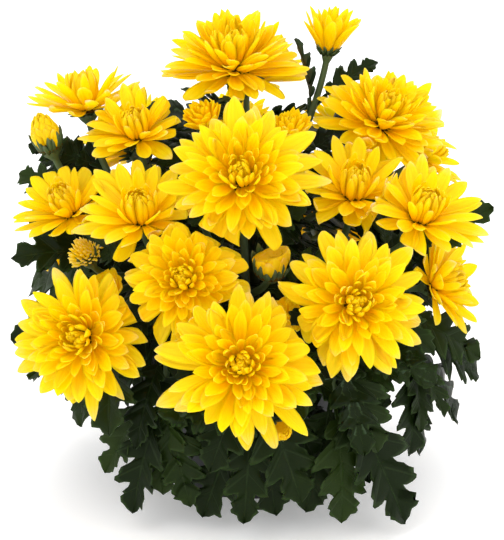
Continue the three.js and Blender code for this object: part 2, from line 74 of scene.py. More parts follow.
# Blooms of each cutting: name, form, radius, place, and the face's bearing and lift in degrees.
BLOOMS = {
    "centre": [
        ("crown", "full", 42, (-8, 15, 216), 0, 74),
        ("top_cup", "cup", 19, (41, 32, 224), 90, 82),
        ("right_top", "full", 41, (67, 5, 189), 32, 60),
        ("behind_middle", "cup", 13, (20, -14, 188), 10, 72),
        ("under_crown", "cup", 12, (-21, -14, 195), -50, 62),
        ("right_back", "half", 23, (90, 30, 166), 88, 38),
        ("top_back", "half", 31, (-2, 66, 199), 178, 60),
    ],
    "front": [
        ("middle", "full", 41, (-4, -75, 183), 0, 33),
        ("lower_middle", "full", 37, (-31, -84, 135), -8, 27),
        ("bottom_middle", "full", 43, (-4, -120, 105), 0, 22),
        ("middle_bud", "bud", 12, (10, -74, 138), 6, 62),
        ("behind_bottom", "cup", 13, (20, -76, 112), 10, 46),
        ("shy_middle", "cup", 14, (-24, -40, 154), -10, 60),
        ("bottom_bud", "bud", 6, (14, -104, 66), 20, 10),
    ],
    "right": [
        ("lower_right", "full", 40, (49, -100, 129), 8, 22),
        ("right_inner", "half", 31, (52, -40, 165), 6, 58),
        ("right_outer", "half", 31, (84, -58, 158), 24, 58),
        ("right_side", "half", 28, (93, -34, 116), 66, 22),
        ("back_right", "full", 38, (84, 60, 112), 128, 20),
    ],
    "left": [
        ("left_top", "half", 31, (-86, 22, 194), -110, 82),
        ("left_upper", "half", 28, (-58, -5, 187), -14, 60),
        ("left_outer", "half", 28, (-92, -20, 150), -38, 58),
        ("left_inner", "half", 30, (-54, -56, 157), -8, 58),
        ("lower_left", "full", 39, (-80, -84, 106), -18, 20),
        ("left_bud", "bud", 10, (-104, 0, 181), -60, 72),
        ("green_bud", "bud", 7, (-82, -44, 134), -40, 60),
        ("shy_left", "cup", 12, (-71, -44, 114), -30, 52),
    ],
    "back": [
        ("back_low", "full", 40, (42, 104, 104), 162, 20),
        ("back_left_low", "full", 39, (-42, 104, 108), -158, 22),
        ("left_back", "full", 37, (-88, 62, 112), -124, 20),
        ("back_right_mid", "full", 35, (58, 74, 164), 146, 44),
        ("back_mid", "full", 36, (-10, 98, 158), -176, 36),
        ("back_left_mid", "half", 31, (-62, 60, 162), -136, 46),
        ("back_bud", "bud", 9, (22, 88, 138), 160, 40),
        ("back_left_bud", "bud", 8, (-58, 88, 142), -146, 36),
    ],
}
# Where each cutting's stem stands, and its fork.
CUTTINGS = {
    "centre": ((2, 4), (2, 4, 124)),
    "front": ((-2, -30), (-2, -40, 112)),
    "right": ((30, -4), (42, -6, 110)),
    "left": ((-31, -2), (-42, -6, 112)),
    "back": ((1, 34), (0, 46, 112)),
}
# Leafy side shoots: the cutting that carries them, and their tip.
LATERALS = {
    "low_front": ("front", (2, -80, 72)),
    "low_front_left": ("left", (-42, -72, 70)),
    "low_front_right": ("right", (42, -74, 70)),
    "low_left": ("left", (-84, -34, 80)),
    "low_right": ("right", (82, -36, 78)),
    "low_right_back": ("right", (72, 46, 74)),
    "low_back": ("back", (24, 82, 72)),
    "low_back_left": ("back", (-34, 80, 72)),
    "low_left_back": ("left", (-74, 34, 76)),
}
# Leaves by the shoot that carries them: share along it, and the leaf's tip.
LEAVES = {
    "low_front": [(0.97, (-3, -100, 13)), (0.9, (26, -100, 24)), (0.8, (-20, -98, 40))],
    "low_front_left": [(0.97, (-59, -88, 13)), (0.96, (-30, -94, 19)), (0.75, (-57, -90, 49))],
    "low_front_right": [(0.97, (46, -98, 12)), (0.94, (79, -86, 6)), (0.75, (64, -88, 46))],
    "low_left": [(0.97, (-113, -60, 75)), (0.85, (-96, -66, 69))],
    "low_right": [(0.97, (100, -60, 54)), (0.9, (82, -62, 33)), (0.7, (121, -24, 73))],
    "low_right_back": [(0.97, (94, 70, 36)), (0.85, (112, 34, 62))],
    "low_back": [(0.97, (36, 104, 16)), (0.9, (8, 106, 32))],
    "low_back_left": [(0.97, (-44, 104, 18)), (0.85, (-18, 104, 44))],
    "low_left_back": [(0.97, (-94, 60, 26)), (0.85, (-112, 24, 62))],
    "lower_left": [(0.6, (-70, -95, 58)), (0.66, (-122, -50, 92))],
    "left_outer": [(0.5, (-124, -24, 128)), (0.62, (-118, 12, 140))],
    "left_bud": [(0.62, (-124, 24, 160))],
    "left_top": [(0.62, (-104, 36, 174))],
    "left_upper": [(0.6, (-34, -34, 160))],
    "top_cup": [(0.7, (24, 36, 231)), (0.74, (68, 38, 218))],
    "crown": [(0.6, (-44, 6, 178)), (0.66, (34, -8, 182))],
    "right_top": [(0.62, (92, -22, 160))],
    "right_outer": [(0.66, (124, -32, 158))],
    "right_side": [(0.5, (112, 4, 102))],
    "middle": [(0.5, (28, -62, 166)), (0.62, (-32, -62, 160))],
    "lower_middle": [(0.5, (-6, -92, 128))],
    "lower_right": [(0.6, (20, -98, 118)), (0.55, (92, -78, 96))],
    "back_low": [(0.6, (80, 88, 84))],
    "back_left_low": [(0.6, (-78, 84, 84))],
    "back_right": [(0.6, (102, 18, 88))],
    "back_right_mid": [(0.6, (100, 62, 144))],
    "back_mid": [(0.6, (-2, 98, 130))],
    "back_left_mid": [(0.6, (-102, 34, 150))],
    "top_back": [(0.6, (34, 82, 178))],
}

# Leaves that hang close before the pot, besides the model's own.
DRAPED = {
    "low_front": [
        (0.95, (-24, -82, 8)), (0.93, (13, -84, 10)), (0.90, (-6, -78, 24)), (0.86, (34, -84, 40)),
        (0.88, (-36, -82, 42)), (0.7, (46, -74, 70)), (0.72, (-46, -74, 70)),
    ],
    "low_front_left": [(0.93, (-44, -86, 22)), (0.90, (-74, -72, 28))],
    "low_front_right": [(0.93, (28, -84, 12)), (0.90, (60, -84, 28))],
    "low_left": [(0.92, (-82, -46, 50))],
    "low_right": [(0.94, (88, -56, 44))],
}

# ---------- looks
# Petals of each form, from the outermost (0) to the innermost (1): place in that order, length as a share of
# the radius, rise and curl in degrees, width, cupping (half angle), and the root's radius and height. core is
# the dome's radius and height, seat the radius that the stem flares out to.
FORMS = {
    "full": {"count": 132, "core": (7.6, 13.5), "seat": 6.4, "petals": [
        (0, 1, -4, -4, 9.4, 0.45, 7.4, 2),
        (0.12, 0.97, 4, 0, 9.4, 0.5, 7.8, 3),
        (0.15, 0.86, 10, 4, 9.4, 0.55, 7.8, 3.6),
        (0.28, 0.82, 22, 8, 9, 0.65, 7.4, 5),
        (0.44, 0.74, 36, 14, 8.2, 0.8, 6.6, 7),
        (0.6, 0.62, 50, 26, 6.8, 1, 5.4, 9),
        (0.76, 0.5, 66, 48, 4.8, 1.2, 4.4, 10.5),
        (1, 0.36, 82, 66, 3, 1.3, 1.6, 12),
    ]},
    "half": {"count": 98, "core": (7.6, 10), "seat": 6.6, "petals": [
        (0, 1.12, 8, 4, 10.4, 0.45, 7.4, 2.4),
        (0.12, 1.12, 20, 4, 10.4, 0.55, 7.8, 3.6),
        (0.26, 1, 36, 8, 9.8, 0.7, 7.8, 5.6),
        (0.33, 0.74, 66, 52, 6.4, 1, 7.6, 6.5),
        (0.6, 0.7, 76, 66, 4.8, 1.2, 6.6, 8),
        (0.82, 0.6, 82, 66, 3.8, 1.3, 5.2, 9),
        (1, 0.46, 86, 64, 3, 1.3, 3.8, 9),
    ]},
    "cup": {"count": 46, "core": (6, 7.5), "seat": 4.8, "petals": [
        (0, 1.3, 44, 6, 11, 0.6, 6, 1.6),
        (0.3, 1.34, 54, 6, 11, 0.75, 6.2, 3),
        (0.55, 1.25, 64, 10, 9.4, 0.95, 5.2, 5),
        (0.8, 1.05, 74, 20, 7, 1.15, 3.4, 7),
        (1, 0.85, 82, 26, 5, 1.25, 1.2, 8),
    ]},
    "bud": {"count": 34, "core": (6.4, 12), "seat": 4.6, "petals": [
        (0, 1.7, 60, 62, 8.4, 1, 5.6, 1),
        (0.4, 1.8, 72, 64, 8, 1.1, 5.4, 3),
        (0.75, 1.7, 78, 58, 6.6, 1.2, 4.4, 6),
        (1, 1.2, 84, 46, 5, 1.25, 1.4, 9),
    ]},
    "flare": {"count": 26, "core": (6, 7.5), "seat": 4.8, "petals": [
        (0, 1.34, 52, 4, 11.6, 0.5, 6, 1.6),
        (0.5, 1.36, 62, 4, 11, 0.65, 5.2, 3),
        (1, 1.15, 78, 10, 7, 1, 1.6, 7),
    ]},
    "tuft": {"count": 96, "core": (5.4, 8), "seat": 4.6, "petals": [
        (0, 1.4, 4, 10, 2.8, 0.6, 4.8, 1),
        (0.5, 1.45, 44, 10, 2.6, 0.7, 4.4, 4),
        (1, 1.4, 84, 10, 2.2, 0.8, 1, 7),
    ]},
}
# Blooms that look like another form than their solid's.
LOOKS_LIKE = {"green_bud": "tuft", "top_cup": "flare"}
# Deeper (below nought) or paler yellows: added to each petal's draw.
DEEPER = {"under_crown": -3.0, "bottom_bud": -4.0, "green_bud": 2.0}
# How far the petals of each form stray from their order.
WILD = {"full": 1.35, "half": 1.0, "cup": 0.7, "bud": 0.25}
# Petals narrower than this have fewer points.
NARROW_BELOW = 7.5
PETAL_THICK = 0.55
# The scales under each bloom: their number and sizes.
BRACTS, BRACT_LENGTH, BRACT_WIDTH, BRACT_THICK = 20, 7.5, 4.2, 0.6


class Grid:
    """Stations along a petal with its half width at each, and the points of one loop across it."""

    def __init__(self, stations, width, top, under):
        self.s, self.width = np.array(stations), np.array(width)
        self.t = np.concatenate([np.linspace(-1, 1, top), under])
        self.under = np.concatenate([np.zeros(top), np.ones(len(under))])
        self.faces = loop_faces(len(self.s), len(self.t))
        self.size = len(self.s) * len(self.t)


# One edge of a leaf's blade from base to tip: place along the midrib and half width, as shares of its length.
LEAF_EDGE = np.array([
    (0, 0.02), (0.01, 0.08), (0.06, 0.14), (0.12, 0.19), (0.165, 0.195), (0.18, 0.165), (0.185, 0.12),
    (0.2, 0.11), (0.24, 0.16), (0.29, 0.235), (0.34, 0.3), (0.385, 0.335), (0.41, 0.315), (0.45, 0.365),
    (0.485, 0.36), (0.49, 0.29), (0.475, 0.21), (0.465, 0.14), (0.5, 0.145), (0.54, 0.19), (0.59, 0.25),
    (0.635, 0.285), (0.655, 0.26), (0.69, 0.3), (0.725, 0.295), (0.725, 0.23), (0.71, 0.17), (0.705, 0.12),
    (0.74, 0.12), (0.78, 0.155), (0.82, 0.185), (0.84, 0.16), (0.87, 0.18), (0.9, 0.165), (0.915, 0.11),
    (0.96, 0.07), (1, 0),
])
# Where the side veins meet the edge, counted in its points, and how many points wide they are.
LEAF_VEINS, VEIN_WIDTH = (3.5, 13.5, 23.5, 31.5), 1.1
# How far back on the midrib the edge's points start, by their place: shares of their half width.
LEAF_LEAN = ([0, 0.2, 0.5, 0.85, 1], [0.1, 0.75, 0.8, 0.9, 0.5])
# Places across a leaf, on top from one edge (-1) to the other (1), then back underneath.
LEAF_TOP = np.array([-1, -0.86, -0.55, -0.2, 0, 0.2, 0.55, 0.86, 1])
LEAF_UNDER = np.array([0.7, 0.2, -0.2, -0.7])
# Filling leaves have fewer.
COARSE_TOP, COARSE_UNDER = LEAF_TOP[::2], LEAF_UNDER[::3]
PETIOLE_THICK, BLADE_THICK, RIB_THICK = 2.0, 0.75, 0.6
PETIOLE_SHARE = 0.22
PETIOLE_LOOPS = 4
BLADE_FROM = PETIOLE_LOOPS + 1
FOLD = math.radians(14)
ARCH = math.radians(16)
SUNK, RIPPLE, RIPPLES = 0.012, 0.022, 21
GOLDEN = math.pi * (3 - math.sqrt(5))

# Leaves that fill free space: the grid's cell, attempts, longest size, what each attempt takes off it, its
# variation, the bearing's spread, and room at the top.
CELL, ATTEMPTS, LONGEST, SHORTER, VARY, SPREAD, TOP_ROOM = 2.2, 24, 64, 1.4, 4, 75, 45
# Their spacing, first and last share along a shoot, and range of lifts.
FILLING = {"flowering": (7, 0.12, 0.86, (-20, 50)), "leafy": (4, 0.12, 1.0, (-85, 10))}
# Room kept over each bloom's face, up to a height, and before it in the front half: shares of its radius.
CLEAR = {"height": 70, "over": 0.95, "front_half": 40, "before": 0.85}

# Seeds of the random draws; the bloom's or the shoot's number is added.
SEEDS = {"bloom": 1000, "shoot": 3000, "filling": 7000, "soil": 5}
# Random angles lie between nought and this, in radians.
ANY_ANGLE = 6.28
# Each petal has one of this many draws.
DRAWS = 16


# ---------- geometry helpers
def facing(bearing, lift):
    """The direction at a bearing, from the front to the right, and a lift, in degrees."""
    bearing, lift = math.radians(bearing), math.radians(lift)
    level = math.cos(lift)
    return np.array([math.sin(bearing) * level, -math.cos(bearing) * level, math.sin(lift)])


def unit(v):
    return v / np.linalg.norm(v, axis=-1, keepdims=True)


def turn_to(direction):
    """Columns: side, third and direction, as the model turns each bloom."""
    side = np.cross([0.0, 0.0, 1.0], direction)
    side = np.array([1.0, 0.0, 0.0]) if np.linalg.norm(side) < 1e-3 else unit(side)
    return np.column_stack([side, unit(np.cross(direction, side)), direction])


class Bloom:
    """One row of the table, with its direction, turn and scale."""

    def __init__(self, cutting, order, name, form, radius, at, bearing, lift):
        self.cutting, self.order, self.name, self.form, self.radius = cutting, order, name, form, radius
        self.at = np.array(at, float)
        self.direction = facing(bearing, lift)
        self.turn = turn_to(self.direction)
        self.scale = radius / BUD_SIZE if form == "bud" else max(SMALLEST_SCALE, radius / BIGGEST)
        self.seat = FORMS[form]["seat"] * self.scale


blooms = [Bloom(c, i, *row) for c, rows in BLOOMS.items() for i, row in enumerate(rows)]
# The points of every petal, which the filling leaves keep clear of.
BLOOM_POINTS = []
# The front of the plant, where it shows itself from a little above.
FRONT = facing(0, 18)


def neighbour_planes(bloom):
    """Planes between a bloom and its neighbours, in its own frame: normal and distance."""
    planes = []
    for other in blooms:
        if other is bloom:
            continue
        apart = other.at - bloom.at
        distance = np.linalg.norm(apart)
        limit = distance * bloom.radius / (bloom.radius + other.radius) - NEIGHBOUR_GAP
        if limit < bloom.radius * NEIGHBOUR_REACH:
            planes.append((bloom.turn.T @ (apart / distance), limit))
    return planes


def yield_to(points, planes):
    """Presses points back so that none reaches a plane."""
    for _ in range(2):
        for normal, limit in planes:
            start = limit * YIELD_AT
            room = limit - start
            over = points @ normal - start
            pressed = np.where(over > 0, room * (1 - np.exp(-np.maximum(over, 0) / room)), over)
            points = points + (pressed - over)[..., None] * normal
    return points


def bezier(points, share):
    p = np.asarray(points, float)
    t = np.atleast_1d(share)[:, None]
    return (1 - t) ** 3 * p[0] + 3 * (1 - t) ** 2 * t * p[1] + 3 * (1 - t) * t**2 * p[2] + t**3 * p[3]


def bezier_length(points):
    line = bezier(points, np.linspace(0, 1, 201))
    return np.linalg.norm(np.diff(line, axis=0), axis=1).sum()


def placed(name, data):
    ob = bpy.data.objects.new(name, data)
    bpy.context.scene.collection.objects.link(ob)
    return ob


def circle(n):
    """Angles of n places round a circle."""
    return np.arange(n) / n * 2 * math.pi


class Shell:
    """Points and faces gathered for one piece, and a tone of three numbers a point, read by the materials:
    how far along its petal, leaf or stem it lies, how far across or inwards, and a random draw.
    """

    def __init__(self):
        self.points, self.tones, self.faces, self.materials = [], [], [], []
        self.count = 0

    def add(self, points, faces, material=0, tone=(0, 0, 0)):
        points = np.asarray(points, float).reshape(-1, 3)
        tone = np.broadcast_to(np.asarray(tone, float), points.shape) if np.ndim(tone) == 1 else tone
        self.points.append(points)
        self.tones.append(np.asarray(tone, float).reshape(-1, 3))
        for block in faces:
            self.faces.append(np.asarray(block, np.int64) + self.count)
            self.materials.append(np.full(len(block), material))
        self.count += len(points)

    def object(self, name, materials):
        mesh = bpy.data.meshes.new(name)
        points = np.concatenate(self.points) * 0.001
        loops = np.concatenate([block.ravel() for block in self.faces])
        totals = np.concatenate([np.full(len(block), block.shape[1]) for block in self.faces])
        mesh.vertices.add(len(points))
        mesh.vertices.foreach_set("co", points.astype(np.float32).ravel())
        mesh.loops.add(len(loops))
        mesh.loops.foreach_set("vertex_index", loops.astype(np.int32))
        mesh.polygons.add(len(totals))
        starts = np.concatenate([[0], np.cumsum(totals)[:-1]])
        mesh.polygons.foreach_set("loop_start", starts.astype(np.int32))
        mesh.polygons.foreach_set("material_index", np.concatenate(self.materials).astype(np.int32))
        tone = mesh.attributes.new("tone", "FLOAT_VECTOR", "POINT")
        tone.data.foreach_set("vector", np.concatenate(self.tones).astype(np.float32).ravel())
        mesh.update(calc_edges=True)
        for material in materials:
            mesh.materials.append(material)
        return placed(name, mesh)


def loop_faces(stations, around):
    """Faces of one closed body made of loops: quads between loops, and a cap at each end."""
    s, k = np.meshgrid(np.arange(stations - 1), np.arange(around), indexing="ij")
    a, b = s * around + k, s * around + (k + 1) % around
    quads = np.stack([a, b, b + around, a + around], -1).reshape(-1, 4)
    first = np.arange(around)[::-1][None]
    last = (stations - 1) * around + np.arange(around)[None]
    return [quads, first, last]


def repeated(faces, copies, size):
    """The same faces for several bodies, each with size points."""
    steps = (np.arange(copies) * size)[:, None, None]
    return [(block[None] + steps).reshape(-1, block.shape[1]) for block in faces]


def turned(profile, sides):
    """A body turned round the upright axis from a profile of radii and heights."""
    p = np.array(profile, float)
    a = circle(sides)
    heights = np.broadcast_to(p[:, 1:], (len(p), sides))
    points = np.stack([p[:, :1] * np.cos(a), p[:, :1] * np.sin(a), heights], -1)
    return points, loop_faces(len(p), sides)


def dome(radius, height, rings=6, around=20):
    """A small closed dome."""
    share = np.linspace(0, 1, rings)
    r = radius * np.cos(share * math.pi / 2 * 0.97)
    return turned(np.column_stack([r, height * np.sin(share * math.pi / 2)]), around)


# ---------- petals
BROAD = Grid([0, 0.15, 0.32, 0.48, 0.62, 0.74, 0.84, 0.92, 0.97, 1.0],
             [0.42, 0.58, 0.82, 0.97, 1.0, 0.93, 0.75, 0.50, 0.27, 0.06], 7, [0.5, 0, -0.5])
NARROW = Grid([0, 0.2, 0.42, 0.62, 0.78, 0.9, 0.97, 1.0],
              [0.5, 0.68, 0.9, 1.0, 0.95, 0.72, 0.4, 0.1], 5, [0.5, 0, -0.5])
BRACT = Grid([0, 0.35, 0.7, 0.9, 1.0], [0.9, 1.0, 0.75, 0.4, 0.08], 3, [0])


def bend(share):
    """How much of its curl a petal has at a share of its length: more near the tip."""
    return np.where(share < 0.6, share * 0.6, share * 1.6 - 0.6)


def petals(grid, numbers, rng, wild, thick=PETAL_THICK):
    """Closed petals as an array (petal, station, point of the loop, xyz) in a bloom's own frame."""
    angle, rise, curl, length, width, cup, root_radius, root_height = numbers
    n, s, t = len(angle), grid.s, grid.t
    phi_middle = rise[:, None] + curl[:, None] * bend((s[1:] + s[:-1]) / 2)
    phi = rise[:, None] + curl[:, None] * bend(s)
    step = np.diff(s)[None] * length[:, None]
    start = np.zeros((n, 1))
    out = root_radius[:, None] + np.concatenate([start, np.cumsum(np.cos(phi_middle) * step, 1)], 1)
    up = root_height[:, None] + np.concatenate([start, np.cumsum(np.sin(phi_middle) * step, 1)], 1)
    outward = np.stack([np.cos(angle), np.sin(angle), np.zeros(n)], -1)[:, None]
    side = np.stack([-np.sin(angle), np.cos(angle), np.zeros(n)], -1)[:, None]
    upward = np.array([0.0, 0.0, 1.0])
    drift = rng.normal(0, 0.055 * wild, n)[:, None] * length[:, None] * s[None] ** 2
    line = outward * out[..., None] + upward * up[..., None] + side * drift[..., None]
    normal = -outward * np.sin(phi)[..., None] + upward * np.cos(phi)[..., None]
    twist = rng.normal(0, 0.2 * wild, n)[:, None] * s[None]
    across = side * np.cos(twist)[..., None] + normal * np.sin(twist)[..., None]
    above = normal * np.cos(twist)[..., None] - side * np.sin(twist)[..., None]
    half, cup = (width[:, None] / 2 * grid.width[None])[..., None], cup[:, None, None]
    sideways = half * np.sin(cup * t) / cup
    raised = half * (1 - np.cos(cup * t)) / cup
    fade = 1 - s[None, :, None] ** 4
    grooves = 0.05 * half * np.cos(3 * math.pi * t) * (1 - grid.under) * fade
    depth = grid.under * thick * (1.25 - s[None, :, None] * 0.75)
    points = line[:, :, None] + across[:, :, None] * sideways[..., None]
    return points + above[:, :, None] * (raised + grooves - depth)[..., None]


def petal_tones(grid, age, rng):
    """Share along the petal, how far inwards it grows, and its draw, a whole number, plus a share across."""
    own = np.floor(rng.random(len(age)) * DRAWS)
    across = 0.05 + 0.45 * (grid.t + 1)
    parts = np.broadcast_arrays(grid.s[None, :, None], age[:, None, None], own[:, None, None] + across)
    return np.stack(parts, -1).reshape(-1, 3)


def bloom_piece(bloom, index):
    """One bloom: the broad outer petals and the narrow inner ones, round a dome."""
    rng = np.random.default_rng(SEEDS["bloom"] + index)
    form = FORMS[LOOKS_LIKE.get(bloom.name, bloom.form)]
    n = form["count"]
    keys = np.array(form["petals"])
    order = np.arange(n) / (n - 1)
    between = [np.interp(order, keys[:, 0], keys[:, column]) for column in range(1, 8)]
    length, rise, curl, width, cup, root_r, root_z = between
    narrow = width < NARROW_BELOW
    size = bloom.radius / BUD_SIZE if bloom.form == "bud" else 0.35 + 0.65 * bloom.radius / BIGGEST
    root_r, root_z, width = root_r * bloom.scale, root_z * bloom.scale, width * size
    wild = WILD[bloom.form]
    angle = np.arange(n) * GOLDEN + rng.normal(0, 0.09 * wild, n) + rng.random() * ANY_ANGLE
    rise = np.radians(rise + rng.normal(0, 4.5 * wild, n))
    curl = np.radians(curl + rng.normal(0, 9 * wild, n))
    length = bloom.radius * length * (1 + rng.uniform(-0.1, 0.07, n) * wild) - root_r
    width = width * (1 + rng.normal(0, 0.08 * wild, n))
    shell = Shell()
    planes = neighbour_planes(bloom)
    for grid, pick in ((BROAD, ~narrow), (NARROW, narrow)):
        if pick.any():
            picked = [x[pick] for x in (angle, rise, curl, length, width, cup, root_r, root_z)]
            local = yield_to(petals(grid, picked, rng, wild).reshape(-1, 3), planes)
            local = local @ bloom.turn.T + bloom.at
            tones = petal_tones(grid, order[pick], rng) + [0, 0, DRAWS * DEEPER.get(bloom.name, 0)]
            shell.add(local, repeated(grid.faces, int(pick.sum()), grid.size), 0, tones)
            BLOOM_POINTS.append(local)
    core, faces = dome(form["core"][0] * bloom.scale, form["core"][1] * bloom.scale)
    core = yield_to(core.reshape(-1, 3) + [0, 0, 0.2], planes)
    shell.add(core @ bloom.turn.T + bloom.at, faces, 1)
    ob = shell.object("bloom_" + bloom.name, [MATERIALS["petal"], MATERIALS["disc"]])
    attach(ob, "root")
    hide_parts(bloom.name)


# ---------- stems
def stem_points(cutting):
    """Control points of a cutting's stem, from inside the potting mix to its fork."""
    (x, y), fork = CUTTINGS[cutting]
    heights = [SOIL_TOP - STEM["buried"], *STEM["straight"]]
    return np.array([*[(x, y, z) for z in heights], fork], float)


def leaves_stem(cutting, order):
    """Where a shoot leaves its stem, each a little below the one before."""
    return bezier(stem_points(cutting), 1 - STEM["spacing"] * order)[0]


def shoot_points(bloom):
    """Control points of a flowering shoot, up to the back of its bloom."""
    fork = np.array(CUTTINGS[bloom.cutting][1], float)
    seat = bloom.at - bloom.direction * SEAT_GAP
    reach = np.linalg.norm(seat - fork)
    lean = SHOOT["leave"]
    leaving = fork + [(seat[0] - fork[0]) * lean, (seat[1] - fork[1]) * lean, reach * SHOOT["rise"]]
    arriving = seat - bloom.direction * min(SHOOT["arrive"], reach * SHOOT["arrive_share"])
    return np.array([leaves_stem(bloom.cutting, bloom.order), leaving, arriving, seat])


def lateral_points(cutting, end, order):
    """Control points of a leafy side shoot, which arches over the pot's rim."""
    fork, tip = np.array(CUTTINGS[cutting][1], float), np.array(end, float)
    leaving = fork + (tip - fork) * LATERAL["leave"]
    arriving = fork + (tip - fork) * LATERAL["arrive"]
    leaving[2], arriving[2] = POT["height"] + LATERAL["rise"], POT["height"] + LATERAL["fall"]
    return np.array([leaves_stem(cutting, order), leaving, arriving, tip])


def tube(curve, shares, radii, sides=12, ribs=5, rib_depth=0.07):
    """A ribbed stem along a curve, closed at both ends."""
    line = bezier(curve, shares)
    beside = np.clip(np.asarray(shares)[:, None] + [-1e-3, 1e-3], 0, 1)
    fine = bezier(curve, beside.ravel()).reshape(-1, 2, 3)
    tangents = unit(fine[:, 1] - fine[:, 0])
    across = np.array([1.0, 0.0, 0.0])
    a = circle(sides)
    loops = []
    for centre, tangent, radius in zip(line, tangents, radii):
        across = unit(across - tangent * (across @ tangent))
        other = np.cross(tangent, across)
        r = radius * (1 + rib_depth * np.cos(ribs * a))
        loops.append(centre + np.outer(r * np.cos(a), across) + np.outer(r * np.sin(a), other))
    return np.array(loops), loop_faces(len(line), sides)


# ---------- leaves
def leaf_face(base, chord):
    """Where a leaf's upper side looks: up and outwards, or to the front where it grows sideways."""
    outward = np.array([base[0], base[1], 0.0])
    outward = unit(outward) if np.linalg.norm(outward) > 1e-6 else np.array([0.0, -1.0, 0.0])
    face = outward * 0.7 + [0, -1.1 * chord[0] ** 2 * (base[1] < 35), 1]
    return unit(face - chord * (face @ chord))


def leaf_edges(rng):
    """Both edges of one blade, a little different, and where their points start on the midrib."""
    count = len(LEAF_EDGE)
    broad = rng.uniform(0.78, 1.02)
    edges = [
        LEAF_EDGE * [1, broad * rng.uniform(0.93, 1.07)] + rng.normal(0, 0.009, (count, 2)) for _ in range(2)
    ]
    feet = []
    for edge in edges:
        edge[[0, -1]] = LEAF_EDGE[[0, -1]]
        lean = np.interp(edge[:, 0], *LEAF_LEAN)
        feet.append(np.maximum.accumulate(np.clip(edge[:, 0] - np.abs(edge[:, 1]) * lean, 0, 1)))
    return edges, (feet[0] + feet[1]) / 2


def leaf(base, end, rng, top=LEAF_TOP, below=LEAF_UNDER):
    """One closed leaf, in loops from its petiole's root to its tip, and its tones."""
    base, chord = np.array(base, float), np.array(end, float) - base
    length = np.linalg.norm(chord)
    chord = chord / length
    petiole = length * PETIOLE_SHARE
    blade = length - petiole
    face = leaf_face(base, chord)
    side = np.cross(face, chord)

    # Along and across the flat leaf, in millimetres.
    stalk = np.linspace(0, petiole * 0.94, PETIOLE_LOOPS)
    t = np.concatenate([top, below])
    under = np.concatenate([np.zeros(len(top)), np.ones(len(below))])
    count = len(LEAF_EDGE)
    edges, foot = leaf_edges(rng)
    edge_x = np.where(t[None] < 0, edges[0][:, :1], edges[1][:, :1])
    edge_y = np.where(t[None] < 0, np.abs(edges[0][:, 1:]), np.abs(edges[1][:, 1:]))
    x = petiole + blade * (foot[:, None] * (1 - np.abs(t)) + edge_x * np.abs(t))
    y = blade * edge_y * t
    x = np.concatenate([np.repeat(stalk[:, None], len(t), 1), x])
    y = np.concatenate([np.repeat(1.0 * t[None], len(stalk), 0), y])
    along = np.concatenate([np.full(len(stalk), -1.0), np.arange(count)]) / count

    # Arched along the chord, folded along the rib, rippled at the edge and sunk at the veins.
    share = (x / length)[..., None]
    turn, lean = ARCH * (1 - share), ARCH * (1 - 2 * share)
    on_rib = base + x[..., None] * (chord * np.cos(turn) + face * np.sin(turn))
    normal = face * np.cos(lean) - chord * np.sin(lean)
    blade_part = np.clip((x - petiole) / (0.1 * blade), 0, 1)
    edge = np.abs(t)[None] * np.ones_like(x)
    far = np.abs(y) / blade
    wave = along[:, None] * RIPPLES + rng.random() * ANY_ANGLE + np.where(t < 0, 0, 1.3)[None]
    ripple = RIPPLE * blade * edge**2 * np.sin(wave)
    droop = -rng.uniform(0.1, 0.35) * blade * far**2 / 0.35
    veins = [np.exp(-(((along * count - place) / VEIN_WIDTH) ** 2)) for place in LEAF_VEINS]
    vein = np.max(veins, axis=0)[:, None]
    sunk = -SUNK * blade * vein * np.sin(math.pi * edge) - SUNK * blade * np.exp(-((edge / 0.16) ** 2))
    lift = (ripple + droop + sunk + np.abs(y) * math.sin(FOLD)) * blade_part
    by_rib = np.exp(-((edge / 0.18) ** 2))
    thick = np.where(along[:, None] < 0, PETIOLE_THICK, BLADE_THICK + RIB_THICK * by_rib)
    sideways = y * np.where(blade_part > 0, math.cos(FOLD), 1)
    raised = lift - under[None] * thick
    points = on_rib + side * sideways[..., None] + normal * raised[..., None]
    tones = [np.broadcast_to(along[:, None], x.shape), edge * np.sign(t) * (1 + 2 * under)]
    tones.append(np.full(x.shape, rng.random()))
    return points, loop_faces(len(along), len(t)), np.stack(tones, -1)


def shoot_lines():
    """Every shoot by name: its cutting, its control points, and its bloom or None."""
    lines = {}
    for cutting in CUTTINGS:
        own = [bloom for bloom in blooms if bloom.cutting == cutting]
        for bloom in own:
            lines[bloom.name] = (cutting, shoot_points(bloom), bloom)
        side = [(name, end) for name, (carrier, end) in LATERALS.items() if carrier == cutting]
        for i, (name, end) in enumerate(side):
            lines[name] = (cutting, lateral_points(cutting, end, len(own) + i), None)
    return lines


def shoot_radii(curve, bloom):
    """Shares along a shoot and the radius at each, which flares out to the bloom's seat."""
    if bloom is None:
        shares = np.linspace(0, 1, 26)
        return shares, LATERAL["root"] + (LATERAL["end"] - LATERAL["root"]) * shares
    seat = bloom.seat * STEM["cover"]
    neck = 1 - STEM["flare"] * (0.5 + bloom.scale / 2) / bezier_length(curve)
    shares = np.concatenate([np.linspace(0, neck, 22), neck + (1 - neck) * np.array([0.3, 0.55, 0.8, 1])])
    thinning = [STEM["fork"], (STEM["fork"] + STEM["neck"]) / 2, STEM["neck"]]
    radii = np.interp(shares, [0, neck * 0.35, neck], thinning)
    flare = np.clip((shares - neck) / (1 - neck), 0, 1)
    return shares, radii + (seat - STEM["neck"]) * np.sin(flare * math.pi / 2) ** 1.3


